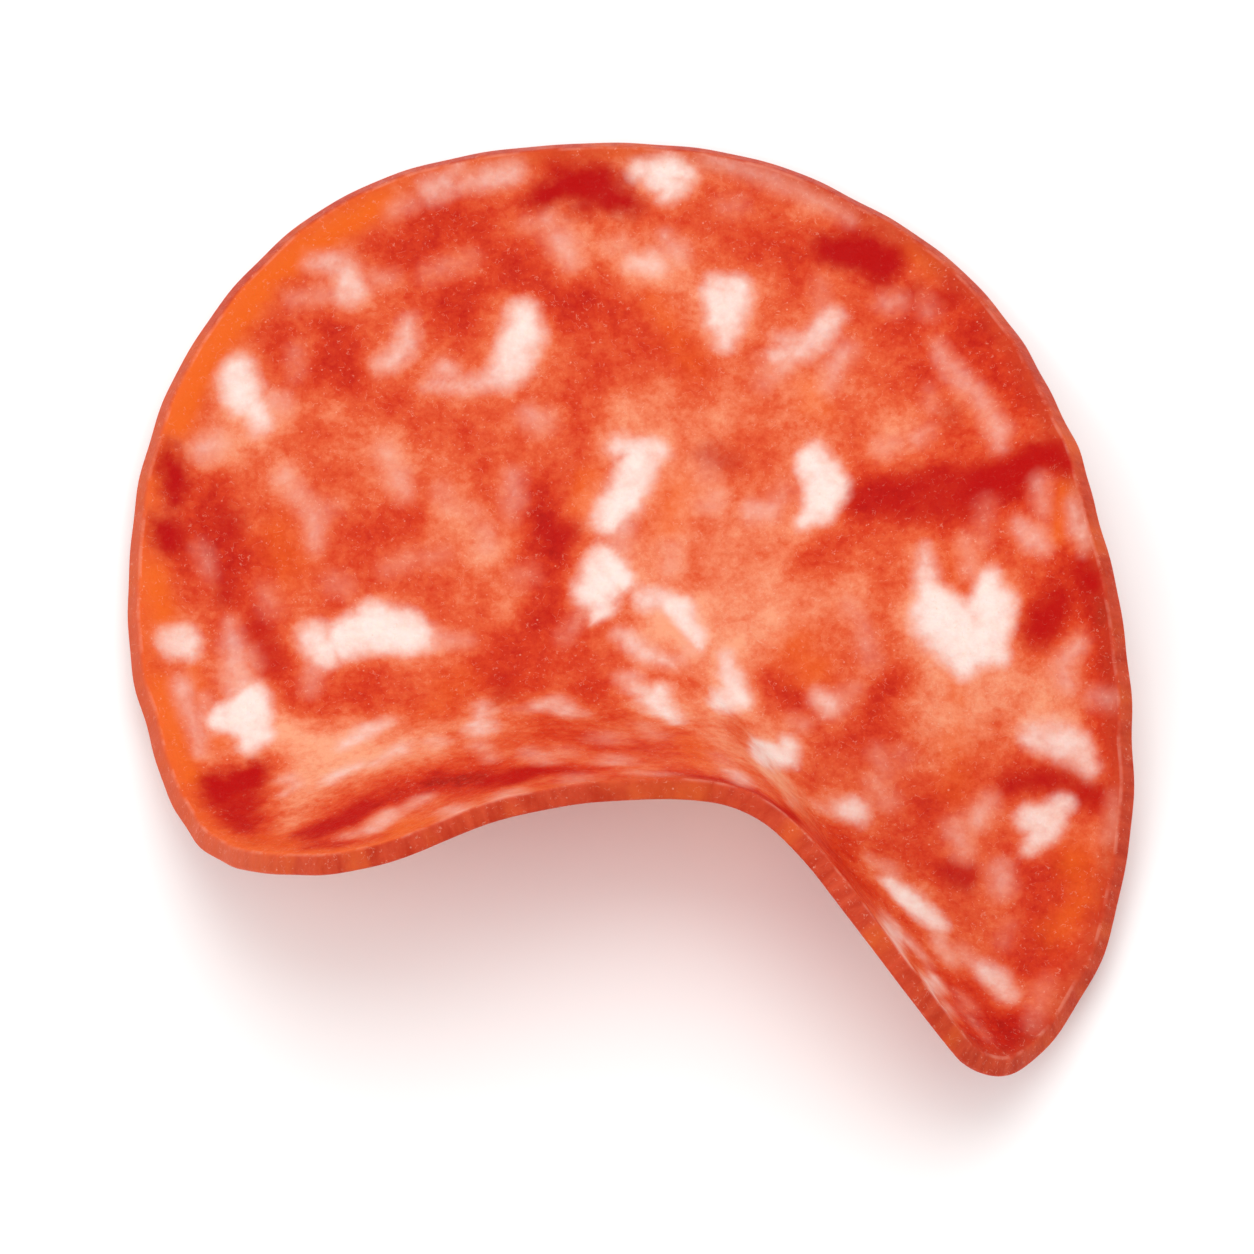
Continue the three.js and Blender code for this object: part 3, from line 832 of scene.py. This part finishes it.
def add_up(tree, first, *others):
    """The sum of some values."""
    for other in others:
        first = calculate(tree, "ADD", first, other)
    return first


def multiply(tree, first, *others):
    """The product of some values."""
    for other in others:
        first = calculate(tree, "MULTIPLY", first, other)
    return first


def soft_step(tree, value, start, full):
    """0 at start, 1 at full, and a smooth rise between."""
    links = {"Value": value, "From Min": start, "From Max": full}
    node = add_node(tree, "ShaderNodeMapRange", links, interpolation_type="SMOOTHSTEP")
    return node.outputs["Result"]


def blend(tree, share, first, second):
    """The first colour where share is 0 and the second where it is 1."""
    links = {MIX_SHARE: share, MIX_FIRST: first, MIX_SECOND: second}
    return add_node(tree, "ShaderNodeMix", links, data_type="RGBA").outputs[MIX_RESULT]


def cloud(tree, place, kind):
    """Cloudy noise of one of the kinds above, about 0.5 in the middle."""
    scale, detail, roughness = kind
    links = {"Vector": place, "Scale": scale, "Detail": detail, "Roughness": roughness}
    return add_node(tree, "ShaderNodeTexNoise", links).outputs["Fac"]


def swing(tree, place, kind, width):
    """Cloudy noise that swings evenly about zero, over width in all."""
    return calculate(tree, "MULTIPLY_ADD", cloud(tree, place, kind), width, -width / 2)


def mark(tree, name):
    """A mark laid down on the vertices."""
    return add_node(tree, "ShaderNodeAttribute", attribute_name=name).outputs["Fac"]


def flat_place(tree):
    """The place on the flat slice, in millimetres."""
    return add_node(tree, "ShaderNodeAttribute", attribute_name="flat_place").outputs["Vector"]


def across_slice(tree):
    """How far to the right of the rest point on the flat slice, in millimetres."""
    return add_node(tree, "ShaderNodeSeparateXYZ", {"Vector": flat_place(tree)}).outputs["X"]


def make_flecks_group():
    """Whitish flecks in the meat: round specks in some cells and short curved fibres.

    A fibre runs where winding noise crosses its middle value, inside scattered patches.
    """
    group = bpy.data.node_groups.new("flecks", "ShaderNodeTree")
    group.interface.new_socket("Place", in_out="INPUT", socket_type="NodeSocketVector")
    group.interface.new_socket("Flecks", in_out="OUTPUT", socket_type="NodeSocketFloat")
    place = add_node(group, "NodeGroupInput").outputs["Place"]
    cells = add_node(group, "ShaderNodeTexVoronoi", {"Vector": place, "Scale": SPECKS_PER_MM})
    size = multiply(group, cells.outputs["Color"], LARGEST_SPECK)
    speck = calculate(group, "SUBTRACT", size, cells.outputs["Distance"])
    speck = soft_step(group, speck, *SPECK_STEP)

    winding = calculate(group, "ABSOLUTE", swing(group, place, FIBRE_WINDING, 1.0))
    patches = soft_step(group, cloud(group, place, FIBRE_PATCHES), *FIBRE_PATCH_STEP)
    fibre = multiply(group, soft_step(group, winding, *FIBRE_STEP), patches, FIBRE_COVER)
    add_node(group, "NodeGroupOutput", {"Flecks": calculate(group, "MAXIMUM", speck, fibre)})
    return group


def lean_shade(tree, tone):
    """The colour of lean meat for a tone between -1 and 1, read off LEAN_STOPS."""
    share = calculate(tree, "MULTIPLY_ADD", tone, 0.5, 0.5, clamp=True)
    ramp = add_node(tree, "ShaderNodeValToRGB", {"Fac": share})
    row = ramp.color_ramp.elements
    for position, colour in LEAN_STOPS[1:-1]:
        row.new(position).color = colour
    row[0].color = LEAN_STOPS[0][1]
    row[-1].color = LEAN_STOPS[-1][1]
    return ramp.outputs["Color"]


def lean_colour(tree, place):
    """Lean meat from dark red to salmon, lighter round the fat, with orange zones."""
    halo = soft_step(tree, mark(tree, "fat_depth"), *HALO_STEP)
    halo = multiply(tree, halo, mark(tree, "fat_strength"), HALO_TONE)
    broad = swing(tree, place, BROAD_LEAN, BROAD_SWING)
    fine = swing(tree, place, FINE_LEAN, FINE_SWING)
    lean = lean_shade(tree, add_up(tree, mark(tree, "tone"), broad, fine, halo))
    orange = add_up(tree, mark(tree, "orange"), swing(tree, place, UNEVEN_ORANGE, ORANGE_SWING))
    return blend(tree, soft_step(tree, orange, *ORANGE_STEP), lean, ORANGE_LEAN)


def rim_strip_with_side_shade(tree, ragged, colour):
    """The dried strip inside the rim: orange on the left, brownish red with painted shade on the
    right.
    """
    # painted shade: the strip darkens towards the right, as if the light came from the left
    strip = blend(tree, soft_step(tree, across_slice(tree), *RIM_SIDE_SHADE_STEP), RIM_LEFT, RIM_RIGHT_PAINTED_SHADE)
    share = soft_step(tree, add_up(tree, mark(tree, "from_rim"), ragged), *RIM_STEP)
    return blend(tree, multiply(tree, share, RIM_COVER), colour, strip)


def deep_share(tree, ragged):
    """How much of the deep red shows."""
    depth = add_up(tree, mark(tree, "deep_depth"), multiply(tree, ragged, DEEP_RAGGEDNESS))
    return multiply(tree, soft_step(tree, depth, *DEEP_STEP), mark(tree, "deep_strength"))


def fat(tree, place, ragged, colour):
    """Fat, pink where it is thin and faint and white where it is deep and strong.

    Its edge is soft over FAINT_FAT_SOFTNESS, less FIRM_FAT_GAIN times the strength.
    """
    strength = mark(tree, "fat_strength")
    depth = add_up(tree, mark(tree, "fat_depth"), FAT_SPREAD, multiply(tree, ragged, FAT_RAGGEDNESS))
    softness = calculate(tree, "MULTIPLY_ADD", strength, -FIRM_FAT_GAIN, FAINT_FAT_SOFTNESS)
    edge = soft_step(tree, calculate(tree, "DIVIDE", depth, softness), *FAT_STEP)
    haze = swing(tree, place, FAT_HAZE, HAZE_SWING)
    cover = multiply(tree, edge, calculate(tree, "ADD", strength, haze, clamp=True))
    mottle = swing(tree, place, FAT_MOTTLE, MOTTLE_SWING)
    white = add_up(tree, strength, multiply(tree, depth, FAT_WHITENING), mottle)
    white = soft_step(tree, white, *WHITENESS_STEP)
    return blend(tree, cover, colour, blend(tree, white, PINK_FAT, WHITE_FAT))


def side_wall(tree, colour):
    """The rim's side wall: strips of two reds across it, with orange stretches and a lighter left.

    A fine dry line runs in stretches where the wall meets the face.
    """
    flat = flat_place(tree)
    strips = soft_step(tree, cloud(tree, flat, WALL_STRIPES), *WALL_STRIPE_STEP)
    wall = blend(tree, strips, WALL_DARK, WALL_LIGHT)
    left = soft_step(tree, across_slice(tree), *WALL_LEFT_STEP)
    wall = blend(tree, multiply(tree, left, WALL_LEFT_COVER), wall, WALL_LEFT)
    warm = soft_step(tree, cloud(tree, flat, WALL_WARMTH), *WALL_WARMTH_STEP)
    wall = blend(tree, multiply(tree, warm, WALL_ORANGE_COVER), wall, WALL_ORANGE)
    from_rim = mark(tree, "from_rim")
    colour = blend(tree, soft_step(tree, from_rim, *WALL_STEP), colour, wall)

    off_line = calculate(tree, "ABSOLUTE", calculate(tree, "SUBTRACT", from_rim, DRY_LINE_FROM_RIM))
    dry = soft_step(tree, cloud(tree, flat, DRY_STRETCHES), *DRY_STRETCH_STEP)
    line = multiply(tree, soft_step(tree, off_line, *DRY_LINE_STEP), dry, DRY_LINE_COVER)
    return blend(tree, line, colour, DRY_EDGE)


def flecked(tree, place, deep, colour):
    """The flecks over everything, fainter on the deep red."""
    flecks = add_node(tree, "ShaderNodeGroup", node_tree=make_flecks_group())
    tree.links.new(place, flecks.inputs["Place"])
    shown = calculate(tree, "MULTIPLY_ADD", deep, -FLECK_LOSS_ON_DEEP, FLECK_COVER)
    return blend(tree, multiply(tree, flecks.outputs["Flecks"], shown), colour, FLECK)


def add_lumps(tree, place, shader):
    """Low lumps of two sizes under the sheen."""
    coarse = multiply(tree, cloud(tree, place, COARSE_LUMPS), COARSE_LUMP_SHARE)
    fine = multiply(tree, cloud(tree, place, FINE_LUMPS), 1 - COARSE_LUMP_SHARE)
    links = {"Height": add_up(tree, coarse, fine), "Strength": LUMP_STRENGTH,
             "Distance": LUMP_HEIGHT * MM}
    bump = add_node(tree, "ShaderNodeBump", links)
    tree.links.new(bump.outputs["Normal"], shader.inputs["Normal"])


def meat_finish():
    """Lean meat, deep red pieces, fat and flecks under a thin wet sheen, with painted shade along
    parts of the rim.
    """
    finish = bpy.data.materials.new("cured_meat")
    finish.use_nodes = True
    tree = finish.node_tree
    shader = tree.nodes["Principled BSDF"]
    metres = add_node(tree, "ShaderNodeTexCoord").outputs["Object"]
    place = add_node(tree, "ShaderNodeVectorMath", {0: metres, "Scale": 1 / MM}, operation="SCALE")
    place = place.outputs["Vector"]

    ragged = swing(tree, place, RAGGED_EDGES, EDGE_SWING)
    colour = rim_strip_with_side_shade(tree, ragged, lean_colour(tree, place))
    deep = deep_share(tree, ragged)
    # deep red pieces, and painted shade just inside the front rim
    colour = blend(tree, deep, colour, DEEP_LEAN_AND_RIM_SHADE)
    colour = fat(tree, place, ragged, colour)
    colour = side_wall(tree, colour)
    colour = flecked(tree, place, deep, colour)
    tree.links.new(colour, shader.inputs["Base Color"])

    add_lumps(tree, place, shader)
    wet = cloud(tree, place, WET_PATCHES)
    wet = calculate(tree, "MULTIPLY_ADD", wet, DRIEST_GAIN, WETTEST_ROUGHNESS)
    tree.links.new(wet, shader.inputs["Roughness"])
    shader.inputs["Specular IOR Level"].default_value = SPECULAR_LEVEL
    shader.inputs["Subsurface Weight"].default_value = SUBSURFACE_WEIGHT
    shader.inputs["Subsurface Radius"].default_value = SUBSURFACE_RADIUS
    shader.inputs["Subsurface Scale"].default_value = SUBSURFACE_DEPTH * MM
    return finish


# ---------------------------------------------------------------- view, light and table

def add_camera(rest_point):
    """The camera, CAMERA_DISTANCE from the table, looking down at CAMERA_ELEVATION."""
    camera = bpy.data.objects.new("camera", bpy.data.cameras.new("camera"))
    bpy.context.scene.collection.objects.link(camera)
    tilt = math.radians(CAMERA_ELEVATION)
    aim = rest_point + np.array([*AIM_FROM_REST_POINT, 0.0]) * MM
    back = np.array([0.0, -math.cos(tilt), math.sin(tilt)])
    camera.location = aim + back * CAMERA_DISTANCE * MM
    camera.rotation_euler = (math.pi / 2 - tilt, 0, 0)
    camera.data.sensor_width = SENSOR_WIDTH
    camera.data.lens = SENSOR_WIDTH * CAMERA_DISTANCE / VIEW_WIDTH
    bpy.context.scene.camera = camera


def add_area_light(name, place, size, power):
    """A square soft light at a place in metres, aimed at the slice."""
    light = bpy.data.objects.new(name, bpy.data.lights.new(name, "AREA"))
    bpy.context.scene.collection.objects.link(light)
    light.data.shape = "SQUARE"
    light.data.size = size
    light.data.energy = power
    light.location = place
    x, y, z = place
    light.rotation_euler = (math.atan2(math.hypot(x, y), z), 0, math.atan2(y, x) + math.pi / 2)


def add_light():
    """A broad lamp above, a weak one from the front left, and a pale sky."""
    add_area_light("overhead_light", **OVERHEAD_LIGHT)
    add_area_light("left_light", **LEFT_LIGHT)
    world = bpy.data.worlds.new("pale_sky")
    world.use_nodes = True
    sky = world.node_tree.nodes["Background"]
    sky.inputs["Color"].default_value = SKY_COLOUR
    sky.inputs["Strength"].default_value = SKY_STRENGTH
    bpy.context.scene.world = world
    bpy.context.scene.view_settings.view_transform = "Standard"


def add_table():
    """A plain pale table top, which isn't part of the slice."""
    half = TABLE_HALF_SIDE
    corners = np.array([(-half, -half, 0), (half, -half, 0), (half, half, 0), (-half, half, 0)])
    table = add_mesh("table", corners, np.array([[0, 1, 2, 3]]))
    finish = bpy.data.materials.new("pale_table")
    finish.use_nodes = True
    shader = finish.node_tree.nodes["Principled BSDF"]
    shader.inputs["Base Color"].default_value = TABLE_COLOUR
    shader.inputs["Roughness"].default_value = TABLE_ROUGHNESS
    table.data.materials.append(finish)


slice_piece, slice_shift = build_slice()
slice_piece.data.materials.append(meat_finish())
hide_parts(NODE)
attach(slice_piece, "root")

add_camera(slice_shift)
add_light()
add_table()
